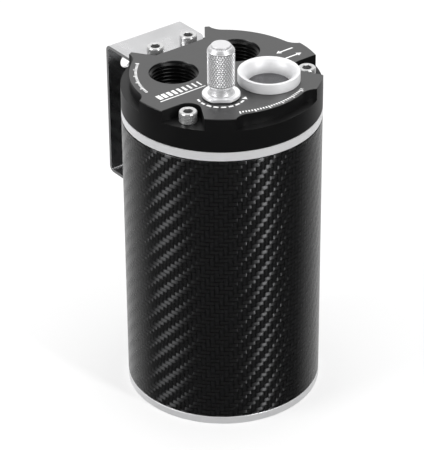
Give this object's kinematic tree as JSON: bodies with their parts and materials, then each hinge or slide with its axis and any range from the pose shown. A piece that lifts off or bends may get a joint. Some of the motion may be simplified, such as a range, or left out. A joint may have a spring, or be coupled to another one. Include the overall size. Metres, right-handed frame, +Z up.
{
  "type": "oil catch can",
  "caption": "Round baffled oil catch can with a carbon sleeve, milled lid, two hose ports, vent collar, dipstick and wall bracket.",
  "frame": {"origin": "centre of the can's flat base, on the surface that it stands on", "axes": "+Z up along the can's axis towards the lid, +Y towards the bracket's wall face, +X to the right for someone who looks along +Y"},
  "size_m": [0.092, 0.1075, 0.1884],
  "materials": {
    "can_aluminium": "fine turned, satin clear anodised",
    "carbon_laminate": "black 2x2 twill carbon under a clear satin lacquer",
    "lid_black_anodised": "milled, satin black anodised",
    "seal_rubber": "matt black nitrile",
    "bolt_steel": "bright zinc plated, knurled heads",
    "bracket_stainless": "brushed stainless sheet",
    "knob_aluminium": "bright turned and diamond knurled",
    "rod_steel": "ground, with three turned level marks",
    "collar_aluminium": "satin clear anodised",
    "mesh_wire": "fine woven wire",
    "plate_aluminium": "plain cut sheet and bar",
    "lid_print": "white pad print, plain marks without letters",
    "pad_wire": "knitted wire wool"
  },
  "bodies": {
    "root": {"can_body": "can_aluminium", "carbon_sleeve": "carbon_laminate", "lid": "lid_black_anodised", "lid_seal": "seal_rubber", "lid_bolt_left": "bolt_steel", "lid_bolt_right": "bolt_steel", "bracket_bolt_left": "bolt_steel", "bracket_bolt_right": "bolt_steel", "bracket": "bracket_stainless", "vent_collar": "collar_aluminium", "vent_mesh": "mesh_wire", "mesh_ring": "collar_aluminium", "vent_seal": "seal_rubber", "sieve_upper": "plate_aluminium", "mesh_pad": "pad_wire", "sieve_lower": "plate_aluminium", "spacer_back": "plate_aluminium", "spacer_left": "plate_aluminium", "spacer_right": "plate_aluminium", "separator_screw_back": "bolt_steel", "separator_screw_left": "bolt_steel", "separator_screw_right": "bolt_steel", "drain_plug": "bolt_steel", "drain_seal": "seal_rubber"},
    "dipstick_lift_carrier": {"dipstick_seal": "seal_rubber"},
    "dipstick": {"dipstick_knob": "knob_aluminium", "dipstick_rod": "rod_steel"}
  },
  "joints": [
    {"name": "dipstick_lift", "type": "slide", "parent": "root", "child": "dipstick_lift_carrier", "axis": [0, 0, 1], "range_m": [0, 0.155]},
    {"name": "dipstick_turn", "type": "hinge", "parent": "dipstick_lift_carrier", "child": "dipstick", "pos_m": [-0.0147, -0.01868, 0.1628], "axis": [0, 0, 1], "range_deg": [0, 1440]}
  ]
}
